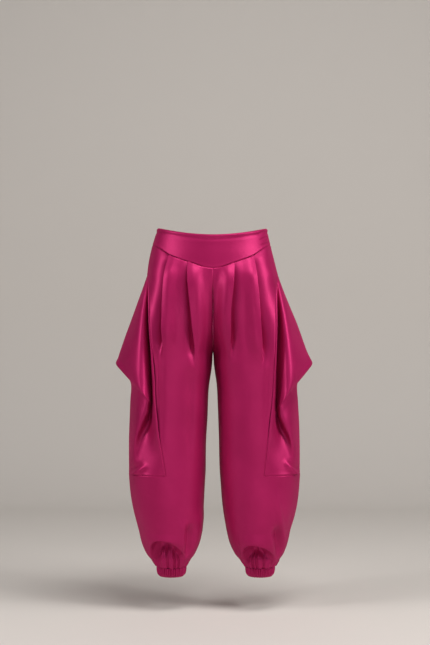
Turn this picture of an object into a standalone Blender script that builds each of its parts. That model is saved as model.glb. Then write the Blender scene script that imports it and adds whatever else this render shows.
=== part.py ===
# Pleated satin trousers with a shaped yoke, side drapes and gathered cuffs.
# Metres, Z up, front faces -Y, the wearer's left is +X, origin at the centre of the waist.
# Heights are given as a drop below the waist, widths as the distance out from the middle.
import math

import bmesh
import bpy
import numpy as np
from mathutils import Vector

# Cloth and seams
cloth_wall = 0.0011
yoke_wall = 0.0018
cuff_wall = 0.0018
seam_gap = 0.0004
edge_bevel = 0.0008

# Turning of the wall's direction in tight folds
turning_rounds = 200
turning_step = 0.03
enough_suited = 0.5

# Waist and yoke
waist_dip_front = 0.0217
waist_dip_back = 0.012
waist_half_width = 0.1515
yoke_back_side = 0.0466
yoke_back_middle = 0.080

# Levels down the leg
hip_drop = 0.1300
level_rows_from = 0.45
cross_seam_drop = 0.6772
blouse_drop = 0.8375

# Cuffs
cuff_gathers = 30
cuff_columns = 90
gather_depth = 0.0008

# Leg gathers above the cuffs
leg_gathers = 16
leg_gather_depth = 0.0018


def table(columns, rows):
    """Names the columns of a short table."""
    names = columns.split()
    return {name: np.array([row[index] for row in rows], float) for index, name in enumerate(names)}


# One row per level. Inner and outer are the two sides of each leg's ring.
leg_rows = table(
    "drop right_inner right_outer left_inner left_outer front back square",
    [
        (0.0000, -0.1491, 0.1535, -0.1535, 0.1491, 0.093, 0.093, 0.00),
        (0.0486, -0.1597, 0.1681, -0.1681, 0.1597, 0.100, 0.105, 0.00),
        (0.0764, -0.1667, 0.1750, -0.1750, 0.1667, 0.106, 0.115, 0.02),
        (0.1097, -0.1720, 0.1806, -0.1770, 0.1750, 0.112, 0.125, 0.04),
        (0.1292, -0.1550, 0.1828, -0.1570, 0.1800, 0.115, 0.130, 0.06),
        (0.1986, -0.0950, 0.1940, -0.0950, 0.1920, 0.118, 0.136, 0.10),
        (0.2681, -0.0420, 0.2045, -0.0420, 0.2060, 0.117, 0.132, 0.12),
        (0.3431, 0.0000, 0.2170, 0.0000, 0.2190, 0.113, 0.122, 0.12),
        (0.4319, 0.0108, 0.2272, 0.0102, 0.2322, 0.109, 0.114, 0.10),
        (0.5097, 0.0153, 0.2297, 0.0145, 0.2352, 0.106, 0.110, 0.08),
        (0.5986, 0.0192, 0.2331, 0.0172, 0.2397, 0.104, 0.107, 0.06),
        (0.6903, 0.0214, 0.2328, 0.0203, 0.2406, 0.102, 0.104, 0.05),
        (0.7764, 0.0264, 0.2214, 0.0278, 0.2319, 0.097, 0.098, 0.04),
        (0.8375, 0.0320, 0.2060, 0.0372, 0.2144, 0.089, 0.090, 0.03),
    ],
)

# Lower edge of the front yoke: share of the half width, drop.
yoke_edge = table(
    "share drop",
    [
        (0.000, 0.1140),
        (0.080, 0.1125),
        (0.370, 0.0974),
        (0.680, 0.0779),
        (0.945, 0.0510),
        (1.000, 0.0466),
    ],
)

# Seam between front and drape: degrees round the leg from its outer side.
drape_seam = table(
    "drop right left",
    [
        (0.1300, 13.0, 13.0),
        (0.1914, 30.4, 31.4),
        (0.2678, 46.6, 47.6),
        (0.3353, 61.1, 59.8),
        (0.4028, 69.3, 67.3),
        (0.4975, 74.5, 73.6),
        (0.5785, 80.7, 79.7),
        (0.6272, 85.6, 83.1),
        (0.6772, 90.0, 86.2),
    ],
)

# Pleat fold lines: width out at four drops, how far the fold stands up, where it ends.
pleats = table(
    "start high middle low ends lift",
    [
        (0.0679, 0.0658, 0.0603, 0.0520, 0.372, 0.0064),
        (0.1181, 0.1257, 0.1335, 0.1387, 0.350, 0.0068),
        (0.0577, 0.0541, 0.0495, 0.0510, 0.350, 0.0064),
        (0.1089, 0.1139, 0.1235, 0.1345, 0.375, 0.0068),
    ],
)
pleat_drops = {"inner": (0.0985, 0.160, 0.230, 0.340), "outer": (0.0800, 0.140, 0.214, 0.342)}
pleat_row = {("right", "inner"): 0, ("right", "outer"): 1, ("left", "inner"): 2, ("left", "outer"): 3}

# Side drape, front half: width out, forward depth and drop of its five lines, a row per station.
# The under line lies midway down between valley and crest, in the pocket beside the crest.
drape_rows = table(
    "valley_out valley_fore valley_drop under_out under_fore crest_out crest_fore crest_drop "
    "wing_out wing_fore wing_drop edge_out edge_drop sag",
    [
        (0.1785, 0.041, 0.190, 0.1815, 0.045, 0.1860, 0.050, 0.189, 0.1985, 0.028, 0.189, 0.2035, 0.189, 0.000),
        (0.1755, 0.040, 0.268, 0.1775, 0.057, 0.1840, 0.080, 0.268, 0.2120, 0.044, 0.268, 0.2325, 0.268, 0.000),
        (0.1700, 0.050, 0.352, 0.1725, 0.070, 0.1810, 0.098, 0.352, 0.2215, 0.057, 0.343, 0.2575, 0.338, 0.001),
        (0.1670, 0.064, 0.436, 0.1680, 0.086, 0.1735, 0.113, 0.450, 0.2200, 0.070, 0.408, 0.2680, 0.368, 0.004),
        (0.1660, 0.068, 0.464, 0.1665, 0.090, 0.1700, 0.118, 0.481, 0.2100, 0.081, 0.435, 0.2710, 0.377, 0.012),
        (0.1660, 0.071, 0.476, 0.1680, 0.080, 0.1740, 0.097, 0.472, 0.2080, 0.052, 0.424, 0.2480, 0.401, 0.014),
        (0.1680, 0.074, 0.504, 0.1715, 0.071, 0.1765, 0.100, 0.502, 0.2090, 0.055, 0.452, 0.2285, 0.430, 0.014),
        (0.1735, 0.079, 0.536, 0.1845, 0.064, 0.1895, 0.097, 0.534, 0.2150, 0.060, 0.500, 0.2300, 0.482, 0.010),
        (0.1765, 0.086, 0.578, 0.1990, 0.054, 0.2050, 0.084, 0.572, 0.2225, 0.047, 0.556, 0.2325, 0.545, 0.006),
        (0.1790, 0.092, 0.622, 0.2080, 0.066, 0.2170, 0.066, 0.618, 0.2280, 0.034, 0.616, 0.2335, 0.614, 0.002),
    ],
)
drape_seam_drops = (0.130, 0.190, 0.268, 0.345, 0.420, 0.446, 0.462, 0.490, 0.520, 0.570, 0.622, 0.6772)
drape_lines = (0, 1, 3, 4, 5, 7, 8, 9)
drape_columns = 9
drape_samples = (0, 0.5, 1, 1.5, 2, 2.5, 3, 3.6, 4.3, 5, 5.5, 6, 6.6, 7.3, 8, 8.7, 9.4, 10.2, 11)

# Blouse over the cuff: level and ring size at the sides, raised arch and ring size in front.
blouse_rows = table(
    "drop size arch front_size back_arch back_size",
    [
        (0.8375, 1.000, 0.00, 1.000, 0.00, 1.000),
        (0.8680, 0.925, 0.27, 1.000, 0.12, 0.985),
        (0.8905, 0.830, 0.62, 0.990, 0.25, 0.950),
        (0.9060, 0.735, 0.93, 0.955, 0.40, 0.870),
        (0.9145, 0.655, 1.22, 0.820, 0.50, 0.760),
        (0.9215, 0.600, 0.85, 0.780, 0.30, 0.690),
        (0.9285, 0.535, 0.37, 0.680, 0.12, 0.600),
        (0.9376, 0.468, 0.00, 0.468, 0.00, 0.468),
    ],
)
arch_rise = {"right": 0.058, "left": 0.042}
cuff_middle = {"right": 0.1153, "left": 0.1306}
cuff_rows = table(
    "drop width depth",
    [
        (0.9380, 0.0403, 0.0405),
        (0.9500, 0.0396, 0.0398),
        (0.9585, 0.0368, 0.0372),
        (0.9640, 0.0318, 0.0325),
    ],
)

# Soft folds low on the legs: from and to as width out and drop, width, height.
leg_folds = {
    "right": table(
        "out_a drop_a out_b drop_b width height",
        [
            (0.0830, 0.79, 0.0640, 0.890, 0.010, 0.006),
            (0.0640, 0.82, 0.0570, 0.890, 0.008, -0.009),
        ],
    ),
    "left": table(
        "out_a drop_a out_b drop_b width height",
        [
            (0.1640, 0.69, 0.1950, 0.880, 0.010, 0.006),
            (0.1660, 0.80, 0.1800, 0.885, 0.009, -0.008),
        ],
    ),
}


def smooth(at, knots, values):
    """Cubic curve through rows of values, with uneven steps."""
    at = np.asarray(at, float)
    knots = np.asarray(knots, float)
    values = np.asarray(values, float)
    step = np.diff(knots)
    tail = (1,) * (values.ndim - 1)
    rise = np.diff(values, axis=0) / step.reshape((-1,) + tail)
    slope = np.empty_like(values)
    slope[0] = rise[0]
    slope[-1] = rise[-1]
    before = step[:-1].reshape((-1,) + tail)
    after = step[1:].reshape((-1,) + tail)
    slope[1:-1] = (rise[:-1] * after + rise[1:] * before) / (before + after)
    index = np.clip(np.searchsorted(knots, at) - 1, 0, len(step) - 1)
    share = ((at - knots[index]) / step[index]).reshape(at.shape + tail)
    width = step[index].reshape(at.shape + tail)
    square = share ** 2
    cube = share ** 3
    start = (2 * cube - 3 * square + 1) * values[index] + (cube - 2 * square + share) * width * slope[index]
    end = (3 * square - 2 * cube) * values[index + 1] + (cube - square) * width * slope[index + 1]
    return start + end


def ease(value):
    """Goes from 0 to 1 with no slope at either end."""
    value = np.clip(value, 0.0, 1.0)
    return value * value * (3 - 2 * value)


def ring_size(side, level):
    """Middle, half width, front and back depth and squareness of a leg's ring."""
    drops = leg_rows["drop"]
    inner = smooth(level, drops, leg_rows[side + "_inner"])
    outer = smooth(level, drops, leg_rows[side + "_outer"])
    front = smooth(level, drops, leg_rows["front"])
    back = smooth(level, drops, leg_rows["back"])
    square = smooth(level, drops, leg_rows["square"])
    return (inner + outer) / 2, (outer - inner) / 2, front, back, square


def turn_for_width(side, level, out):
    """Angle round the ring at which it is a given width out from the middle."""
    middle, half, _, _, square = ring_size(side, level)
    target = (out - middle) / half
    cosine = np.clip(target, -1, 1)
    for _ in range(12):
        cosine = np.clip(target / (1 + square * (1 - cosine ** 2)), -1, 1)
    return np.arccos(cosine)


def middle_turn(side, level):
    """Angle at which the ring meets the centre seam, or the inseam lower down."""
    _, _, front, _, _ = ring_size(side, level)
    turn = turn_for_width(side, level, seam_gap / 2)
    return np.minimum(turn, math.pi - seam_gap / 2 / front)


def side_sign(side):
    return 1.0 if side == "left" else -1.0


def on_ring(side, turn, level, drop=None, lift=0.0, size=1.0):
    """Points on a leg's ring; turn is positive over the front, negative over the back."""
    turn = np.asarray(turn, float)
    level = np.broadcast_to(np.asarray(level, float), turn.shape)
    middle, half, front, back, square = ring_size(side, level)
    size = np.broadcast_to(np.asarray(size, float), turn.shape)
    inward = np.clip((1 - size) / (1 - blouse_rows["size"][-1]), 0, 1)
    middle = middle + (cuff_middle[side] - middle) * inward
    deep = np.where(turn >= 0, front, back)
    sine = np.sin(turn)
    cosine = np.cos(turn)
    out = middle + size * half * cosine * (1 + square * sine ** 2)
    fore = size * deep * sine * (1 + square * cosine ** 2)
    slope_out = half * (-sine * (1 + square * sine ** 2) + 2 * square * sine * cosine ** 2)
    slope_fore = deep * (cosine * (1 + square * cosine ** 2) - 2 * square * cosine * sine ** 2)
    length = np.sqrt(slope_out ** 2 + slope_fore ** 2)
    out = out + lift * slope_fore / length
    fore = fore - lift * slope_out / length
    height = -(level if drop is None else np.broadcast_to(drop, turn.shape))
    return np.stack([side_sign(side) * out, -fore, height], axis=-1)


def front_edge_drop(points):
    """Drop of the front yoke's lower edge at each point's width."""
    half = np.where(points[..., 0] > 0, leg_rows["left_outer"][1], leg_rows["right_outer"][1])
    share = np.clip(np.abs(points[..., 0]) / half, 0, 1)
    return smooth(share, yoke_edge["share"], yoke_edge["drop"])


def back_edge_drop(points):
    """Drop of the back yoke's lower edge at each point's width."""
    half = np.where(points[..., 0] > 0, leg_rows["left_outer"][1], leg_rows["right_outer"][1])
    share = np.clip(np.abs(points[..., 0]) / half, 0, 1)
    return yoke_back_middle + (yoke_back_side - yoke_back_middle) * share ** 1.6


def follow_rows(row_drop, edge):
    """Drop of each point, so that the rows follow the yoke above and lie level below."""
    share = (row_drop - yoke_back_side) / (level_rows_from - yoke_back_side)
    top = edge + seam_gap / 2
    return np.where(share < 1, top + share * (level_rows_from - top), row_drop)


def place_columns(side, columns, row_drop, edge_drop):
    """Angle, lift and drop of one row's points."""
    count = len(columns(side, np.array(row_drop))[0])
    drop = np.full(count, float(row_drop))
    for _ in range(7):
        turn, lift = [np.diagonal(np.array(part)) for part in columns(side, drop)]
        drop = follow_rows(row_drop, edge_drop(on_ring(side, turn, drop)))
    return turn, lift, drop


def arch(side, turn):
    """Height share of the raised arch in the blouse's edge, front or back."""
    cosine = np.cos(turn)
    front = (0.80 - cosine) / 1.50 if side == "right" else (cosine + 0.70) / 1.40
    back = (cosine + 0.85) / 1.70
    share = np.clip(np.where(turn >= 0, front, back), 0, 1)
    return np.sin(math.pi * share ** np.where(turn >= 0, 0.675, 1.0))


def blouse(side, turn, station):
    """Drop and ring size of each point between the shin and the cuff."""
    lifted = arch(side, turn)
    knots = np.arange(len(blouse_rows["drop"]))
    side_drop = smooth(station, knots, blouse_rows["drop"])
    side_size = smooth(station, knots, blouse_rows["size"])
    faces = turn >= 0
    rise = np.where(faces, smooth(station, knots, blouse_rows["arch"]), smooth(station, knots, blouse_rows["back_arch"]))
    full = np.where(faces, smooth(station, knots, blouse_rows["front_size"]),
                    smooth(station, knots, blouse_rows["back_size"]))
    drop = side_drop - arch_rise[side] * rise * lifted
    size = side_size + (full - side_size) * lifted
    gather = ease((station - 3.5) / 2.0)
    wave = np.cos(leg_gathers * turn) + 0.35 * np.cos(11 * turn + 1.3)
    return drop, size, leg_gather_depth * gather * wave


def fold_lift(side, turn, level):
    """Outward push of the soft folds low on the front of a leg."""
    folds = leg_folds[side]
    points = on_ring(side, turn, level)
    out = np.abs(points[..., 0])
    push = np.zeros(turn.shape)
    for index in range(len(folds["width"])):
        start = np.array([folds["out_a"][index], folds["drop_a"][index]])
        span = np.array([folds["out_b"][index], folds["drop_b"][index]]) - start
        along = ((out - start[0]) * span[0] + (level - start[1]) * span[1]) / (span @ span)
        off = (out - start[0]) * span[1] - (level - start[1]) * span[0]
        off = off / math.sqrt(span @ span)
        fade = ease(along / 0.4) * ease((1.25 - along) / 0.25)
        push = push + folds["height"][index] * fade * np.exp(-(off / folds["width"][index]) ** 2)
    return np.where(turn > 0, push, 0.0)


def seam_turn(side, level):
    """Angle of the seam between front and drape."""
    held = np.clip(level, hip_drop, cross_seam_drop)
    return np.radians(smooth(held, drape_seam["drop"], drape_seam[side]))


def sheet_rows():
    """Drops of the rows at the outer seam, from the yoke to the top of the blouse."""
    knots = np.arange(len(drape_seam_drops))
    upper = np.linspace(yoke_back_side, hip_drop, 5)[:-1]
    middle = smooth(np.array(drape_samples), knots, np.array(drape_seam_drops))
    lower = np.linspace(cross_seam_drop, blouse_drop, 5)[1:]
    return upper, middle, lower


blouse_stations = (1, 2, 2.6, 3, 3.5, 4, 5, 6, 7)
fold_places = (-1, -0.62, -0.32, 0, 0.32, 0.62, 1)


def pleat_turn(side, name, drop, seam, middle):
    """Angle of a pleat's fold line, easing to an even share of the panel below it."""
    row = pleat_row[side, name]
    widths = [pleats[key][row] for key in ("start", "high", "middle", "low")]
    held = np.minimum(drop, pleat_drops[name][-1])
    line = turn_for_width(side, drop, smooth(held, pleat_drops[name], widths))
    even = middle + (seam - middle) * (0.333 if name == "inner" else 0.762)
    blend = ease((drop - pleat_drops[name][-1]) / 0.16)
    return line + (even - line) * blend


def pleat_height(side, name, drop):
    row = pleat_row[side, name]
    start = pleat_drops[name][0]
    rising = 0.35 + 0.65 * ease((drop - start) / 0.035)
    fading = ease((pleats["ends"][row] - drop) / 0.11)
    return pleats["lift"][row] * rising * fading


def front_columns(side, row_drop):
    """Angle and lift of every column of one row of a front, from the centre to the drape seam."""
    drop = np.asarray(row_drop, float)
    seam = seam_turn(side, drop)
    half = ring_size(side, drop)[1]
    middle = middle_turn(side, drop)
    spread = (0.0085 + 0.0155 * ease((drop - 0.40) / 0.15)) / half
    turns = []
    lifts = []
    last = middle
    for name, inner_columns in (("inner", 4), ("outer", 3)):
        line = pleat_turn(side, name, drop, seam, middle)
        height = pleat_height(side, name, drop)
        over = ease((height - 0.0050) / 0.0010)
        start = line + spread
        for column in range(inner_columns):
            share = column / inner_columns
            turns.append(last + (start - last) * share)
            lifts.append(height * (3 * share ** 2 - 2 * share ** 4))
        for place in fold_places:
            aside = (1 - over) * place + over * (1.4 * place ** 3 - 0.4 * place)
            turns.append(line - aside * spread)
            lifts.append(height * (0.5 - 0.75 * place + 0.25 * place ** 3))
        last = line - spread
    for column in (1, 2):
        turns.append(last + (seam + seam_gap / 2 / half - last) * column / 2)
        lifts.append(0.0 * drop)
    return turns, lifts


def back_columns(side, row_drop):
    """Angle of every column of one row of a back."""
    drop = np.asarray(row_drop, float)
    seam = seam_turn(side, drop) + seam_gap / 2 / ring_size(side, drop)[1]
    middle = middle_turn(side, drop)
    turns = -np.linspace(middle, seam, 10)
    return list(turns), list(0.0 * turns)


def leg_patch(side, columns, rows, edge_drop):
    """Grid of points from the yoke to the cuff for one panel."""
    grid = []
    for row_drop in rows:
        turn, lift, drop = place_columns(side, columns, row_drop, edge_drop)
        push = lift + fold_lift(side, turn, drop)
        grid.append(on_ring(side, turn, drop, lift=push))
    for station in blouse_stations:
        grid.append(blouse_row(side, turn, station))
    return np.array(grid)


def blouse_row(side, turn, station):
    drop, size, gather = blouse(side, turn, station)
    push = fold_lift(side, turn, drop) * ease((3.2 - station) / 1.5) + gather
    level = np.full(turn.shape, blouse_drop)
    return on_ring(side, turn, level, drop=drop, lift=push, size=size)


def lower_patch(side, facing):
    """Grid below the cross seam, from under the drape seam round to the side seam."""
    _, _, lower = sheet_rows()
    rows = [cross_seam_drop] + list(lower)
    grid = []
    for index, row_drop in enumerate(rows):
        turn = facing * lower_turns(side, row_drop)
        drop = np.full(turn.shape, row_drop)
        if index == 0:
            drop[1:] += seam_gap
        grid.append(on_ring(side, turn, drop, lift=fold_lift(side, turn, drop)))
    turn = facing * lower_turns(side, blouse_drop)
    for station in blouse_stations:
        grid.append(blouse_row(side, turn, station))
    return np.array(grid)


def lower_turns(side, drop):
    """Angles of the columns that go on from the drape's own columns."""
    half = ring_size(side, np.array(drop))[1]
    start = float(seam_turn(side, np.array(drop)) + seam_gap / 2 / half)
    turns = start * (1 - np.arange(drape_columns + 1) / drape_columns)
    turns[-1] = seam_gap / 2 / 0.10
    return turns


def upper_patch(side, facing, seam_column):
    """Strip between the hip end of the drape and the side seam, up to the yoke."""
    upper, _, _ = sheet_rows()
    grid = []
    for index, row_drop in enumerate(list(upper) + [hip_drop]):
        edge = seam_column[index]
        turn = np.array([facing * seam_gap / 2 / 0.105])
        edge_drop = front_edge_drop if facing > 0 else back_edge_drop
        drop = follow_rows(row_drop, edge_drop(on_ring(side, turn, row_drop)))
        grid.append(np.stack([edge, on_ring(side, turn, drop)[0]]))
    return np.array(grid)


def drape_net(side):
    """Named lines of the drape from the front seam over the side to the back seam."""
    count = len(drape_seam_drops)
    levels = np.array(drape_seam_drops)
    rows = drape_rows
    sag = rows["sag"] * (1 if side == "left" else 0)
    outer_right = smooth(levels[1:-1], leg_rows["drop"], leg_rows["right_outer"])
    outer_left = smooth(levels[1:-1], leg_rows["drop"], leg_rows["left_outer"])
    wider = (outer_left - outer_right + 0.001) * (1 if side == "left" else 0)
    half = ring_size(side, levels)[1]
    seam = seam_turn(side, levels) - seam_gap / 2 / half
    last = 2 * len(drape_lines)
    net = np.zeros((count, last + 1, 3))
    depth_share = smooth(levels, leg_rows["drop"], leg_rows["back"] / leg_rows["front"])
    for facing in (1, -1):
        first = 0 if facing > 0 else last
        place = facing
        back_share = np.ones(count) if facing > 0 else depth_share
        for column, shift in ((0, 0.012), (1, 0.0), (2, -0.006)):
            turn = facing * (seam + shift / half)
            net[:, first + place * column] = on_ring(side, turn, levels)
        for name, column in (("valley", 3), ("under", 4), ("crest", 5), ("wing", 6)):
            weight = 0.4 if name == "wing" else 1.0
            level = (rows["valley_drop"] + rows["crest_drop"]) / 2 if name == "under" else rows[name + "_drop"]
            line = np.zeros((count, 3))
            line[1:-1, 0] = side_sign(side) * (rows[name + "_out"] + wider)
            line[1:-1, 1] = -facing * rows[name + "_fore"] * back_share[1:-1]
            line[1:-1, 2] = -(level + sag * weight)
            net[:, first + place * column] = line
        rim = np.zeros((count, 3))
        edge = np.stack([side_sign(side) * (rows["edge_out"] + wider), 0 * rows["edge_out"], -rows["edge_drop"]], -1)
        wing = net[1:-1, first + place * 6]
        rim[1:-1] = edge + (wing - edge) * np.array([0.16, 0.30, 0.16])
        net[:, first + place * 7] = rim
    middle = len(drape_lines)
    net[1:-1, middle] = edge
    for row in (0, count - 1):
        front = seam[row] * (1 - np.array(drape_lines) / drape_columns)
        net[row, 1:middle + 1] = on_ring(side, front, np.full(middle, levels[row]))
        net[row, middle + 1:last] = on_ring(side, -front[:-1][::-1], np.full(middle - 1, levels[row]))
    net[0, :, 2] -= seam_gap / 2
    net[-1, :, 2] += seam_gap / 2
    return net


def drape_patch(side):
    net = drape_net(side)
    rows = smooth(np.array(drape_samples), np.arange(len(net)), net)
    lines = np.array((-1,) + drape_lines[:-1] + tuple(18 - line for line in reversed(drape_lines)) + (19,), float)
    columns = np.arange(0, 2 * drape_columns + 1)
    return smooth(columns, lines, rows.transpose(1, 0, 2)).transpose(1, 0, 2)


def yoke_patch(facing):
    """Grid of the front or back yoke, from the right side over the middle to the left."""
    edge_drop = front_edge_drop if facing > 0 else back_edge_drop
    count = 12 if facing > 0 else 9
    dip = waist_dip_front if facing > 0 else waist_dip_back
    grid = []
    for share in np.linspace(0, 1, 5 if facing > 0 else 4):
        parts = []
        for side in ("right", "left"):
            level = np.full(count + 1, 0.05)
            for _ in range(8):
                full = turn_for_width(side, level[-1], 0.0)
                turn = facing * (seam_gap / 2 / 0.10 + (full - seam_gap / 2 / 0.10) * np.arange(count + 1) / count)
                points = on_ring(side, turn, level)
                top = dip * (1 - np.clip(np.abs(points[:, 0]) / waist_half_width, 0, 1) ** 2)
                bottom = edge_drop(points) - seam_gap / 2
                level = top + (bottom - top) * share
            parts.append(on_ring(side, turn, level))
        grid.append(np.concatenate([parts[0], parts[1][::-1][1:]]))
    return np.array(grid)


def cuff_patch(side):
    """Closed ring of small gathers, narrowing to a rounded lower edge."""
    grid = []
    angle = np.linspace(0, 2 * math.pi, cuff_columns + 1)
    angle[-1] = 0.0
    for drop in cuff_rows["drop"]:
        width = smooth(drop, cuff_rows["drop"], cuff_rows["width"])
        depth = smooth(drop, cuff_rows["drop"], cuff_rows["depth"])
        ripple = gather_depth * np.cos(cuff_gathers * angle)
        x = side_sign(side) * cuff_middle[side] + (width + ripple) * np.cos(angle)
        y = (depth + ripple) * np.sin(angle)
        grid.append(np.stack([x, y, np.full(angle.shape, -drop)], -1))
    return np.array(grid)


def point_normals(points, triangles):
    """Unit normal at each point: its triangles' normals, weighted by their angles there.

    In a tight fold it is then turned towards the triangle that it suits least.
    """
    corners = points[triangles]
    facing = np.cross(corners[:, 1] - corners[:, 0], corners[:, 2] - corners[:, 0])
    facing = facing / np.maximum(np.linalg.norm(facing, axis=1, keepdims=True), 1e-15)
    normals = np.zeros(points.shape)
    for corner in range(3):
        ahead = corners[:, (corner + 1) % 3] - corners[:, corner]
        behind = corners[:, (corner + 2) % 3] - corners[:, corner]
        lengths = np.linalg.norm(ahead, axis=1) * np.linalg.norm(behind, axis=1)
        angle = np.arccos(np.clip((ahead * behind).sum(axis=1) / np.maximum(lengths, 1e-15), -1, 1))
        np.add.at(normals, triangles[:, corner], facing * angle[:, None])
    normals = normals / np.linalg.norm(normals, axis=1, keepdims=True)
    for _ in range(turning_rounds):
        suits = (facing[:, None] * normals[triangles]).sum(axis=2)
        least = np.ones(len(points))
        np.minimum.at(least, triangles, suits)
        worst = (suits <= least[triangles]) & (suits < enough_suited)
        turned = np.zeros(points.shape)
        np.add.at(turned, triangles[worst], np.repeat(facing[:, None], 3, axis=1)[worst])
        normals = normals + turning_step * turned
        normals = normals / np.linalg.norm(normals, axis=1, keepdims=True)
    return normals


def make_sheet(name, patches, wall, material, own_side=0):
    """Joins grids into one cloth panel with a wall and closed edges."""
    places = {}
    outer = []
    faces = []
    for points, turned in patches:
        index = np.zeros(points.shape[:2], int)
        for row in range(points.shape[0]):
            for column in range(points.shape[1]):
                key = tuple(np.round(points[row, column] / 2e-6).astype(int))
                if key not in places:
                    places[key] = len(outer)
                    outer.append(points[row, column])
                index[row, column] = places[key]
        for row in range(points.shape[0] - 1):
            for column in range(points.shape[1] - 1):
                face = (index[row, column], index[row + 1, column], index[row + 1, column + 1], index[row, column + 1])
                faces.append(face if turned > 0 else face[::-1])
    outer = np.array(outer)
    count = len(outer)
    edges = {(face[step], face[(step + 1) % 4]) for face in faces for step in range(4)}
    triangles = []
    for face in faces:
        a, b, c, d = face
        if np.linalg.norm(outer[a] - outer[c]) <= np.linalg.norm(outer[b] - outer[d]):
            triangles += [(a, b, c), (a, c, d)]
        else:
            triangles += [(a, b, d), (b, c, d)]
    normals = point_normals(outer, np.array(triangles))
    borders = [(start, end) for start, end in sorted(edges) if (end, start) not in edges]
    inward = np.zeros(outer.shape)
    for start, end in borders:
        for corner in (start, end):
            aside = np.cross(normals[corner], outer[end] - outer[start])
            inward[corner] += aside / max(np.linalg.norm(aside), 1e-12)
    inward = inward / np.maximum(np.linalg.norm(inward, axis=1, keepdims=True), 1e-12)
    lining = outer - wall * normals + edge_bevel * inward
    if own_side:
        lining[:, 0] = own_side * np.maximum(own_side * lining[:, 0], seam_gap / 2)
    vertices = np.concatenate([outer, lining])
    inner_triangles = [tuple(vertex + count for vertex in reversed(face)) for face in triangles]
    rims = [(end, start, start + count, end + count) for start, end in borders]
    mesh = bpy.data.meshes.new(name)
    mesh.from_pydata([Vector(vertex) for vertex in vertices], [], triangles + inner_triangles + rims)
    shell = bmesh.new()
    shell.from_mesh(mesh)
    bmesh.ops.recalc_face_normals(shell, faces=shell.faces)
    shell.to_mesh(mesh)
    shell.free()
    mesh.polygons.foreach_set("use_smooth", [True] * len(mesh.polygons))
    mesh.materials.append(material)
    panel = bpy.data.objects.new(name, mesh)
    bpy.context.scene.collection.objects.link(panel)
    return panel


def satin(name, colour, roughness):
    """Plain satin colour."""
    material = bpy.data.materials.new(name)
    material.use_nodes = True
    surface = material.node_tree.nodes["Principled BSDF"]
    surface.inputs["Base Color"].default_value = colour
    surface.inputs["Roughness"].default_value = roughness
    surface.inputs["Metallic"].default_value = 0.0
    return material


def build():
    for item in list(bpy.data.objects):
        bpy.data.objects.remove(item, do_unlink=True)
    cloth = satin("fuchsia_satin", (0.42, 0.01, 0.10, 1.0), 0.35)
    make_sheet("yoke_front", [(yoke_patch(1), 1)], yoke_wall, cloth)
    make_sheet("yoke_back", [(yoke_patch(-1), -1)], yoke_wall, cloth)
    upper, middle, lower = sheet_rows()
    rows = list(upper) + list(middle) + list(lower)
    for side in ("left", "right"):
        turned = side_sign(side)
        front = leg_patch(side, front_columns, rows, front_edge_drop)
        back = leg_patch(side, back_columns, rows, back_edge_drop)
        front_top = upper_patch(side, 1, front[:5, -1])
        back_top = upper_patch(side, -1, back[:5, -1])
        front_low = lower_patch(side, 1)
        back_low = lower_patch(side, -1)
        start = len(rows) - 5
        front_low[:, 0] = front[start:, -1]
        back_low[:, 0] = back[start:, -1]
        make_sheet("front_" + side, [(front, turned), (front_top, turned), (front_low, turned)], cloth_wall, cloth, turned)
        make_sheet("back_" + side, [(back, -turned), (back_top, -turned), (back_low, -turned)], cloth_wall, cloth, turned)
        make_sheet("drape_" + side, [(drape_patch(side), turned)], cloth_wall, cloth)
        make_sheet("cuff_" + side, [(cuff_patch(side), 1)], cuff_wall, cloth)


build()
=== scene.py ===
import math

import bpy
import numpy as np
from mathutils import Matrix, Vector


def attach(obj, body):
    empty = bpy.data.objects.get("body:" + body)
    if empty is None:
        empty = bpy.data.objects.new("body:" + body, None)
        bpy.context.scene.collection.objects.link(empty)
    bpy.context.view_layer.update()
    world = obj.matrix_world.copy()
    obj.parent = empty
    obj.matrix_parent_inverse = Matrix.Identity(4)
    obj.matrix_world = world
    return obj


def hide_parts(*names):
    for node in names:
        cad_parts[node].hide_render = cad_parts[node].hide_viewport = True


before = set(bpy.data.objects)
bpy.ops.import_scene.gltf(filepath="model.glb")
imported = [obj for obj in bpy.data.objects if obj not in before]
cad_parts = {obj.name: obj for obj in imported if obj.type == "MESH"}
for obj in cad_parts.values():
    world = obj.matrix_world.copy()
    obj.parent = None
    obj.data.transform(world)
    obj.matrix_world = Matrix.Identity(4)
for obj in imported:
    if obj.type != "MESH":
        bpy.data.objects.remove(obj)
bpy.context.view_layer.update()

# Heights are a drop below the waist, widths are the distance out from the middle, all in metres.
# Names with left and right are the wearer's. The front faces -Y.
seamGap = 0.00004
meanRadius = 0.10  # of the rings, where half a seam gap is turned into an angle
hipRadius = 0.105  # the same above the drapes
yokeSideDrop = 0.0466
hipDrop = 0.1300  # where the drape seams start
crotchDrop = 0.3431
levelRowsFrom = 0.45
crossSeamDrop = 0.6772
blouseDrop = 0.8375


def table(columns, rows):
    # Names the columns of a short table.
    names = columns.split()
    return {name: np.array([row[index] for row in rows], float) for index, name in enumerate(names)}


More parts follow.
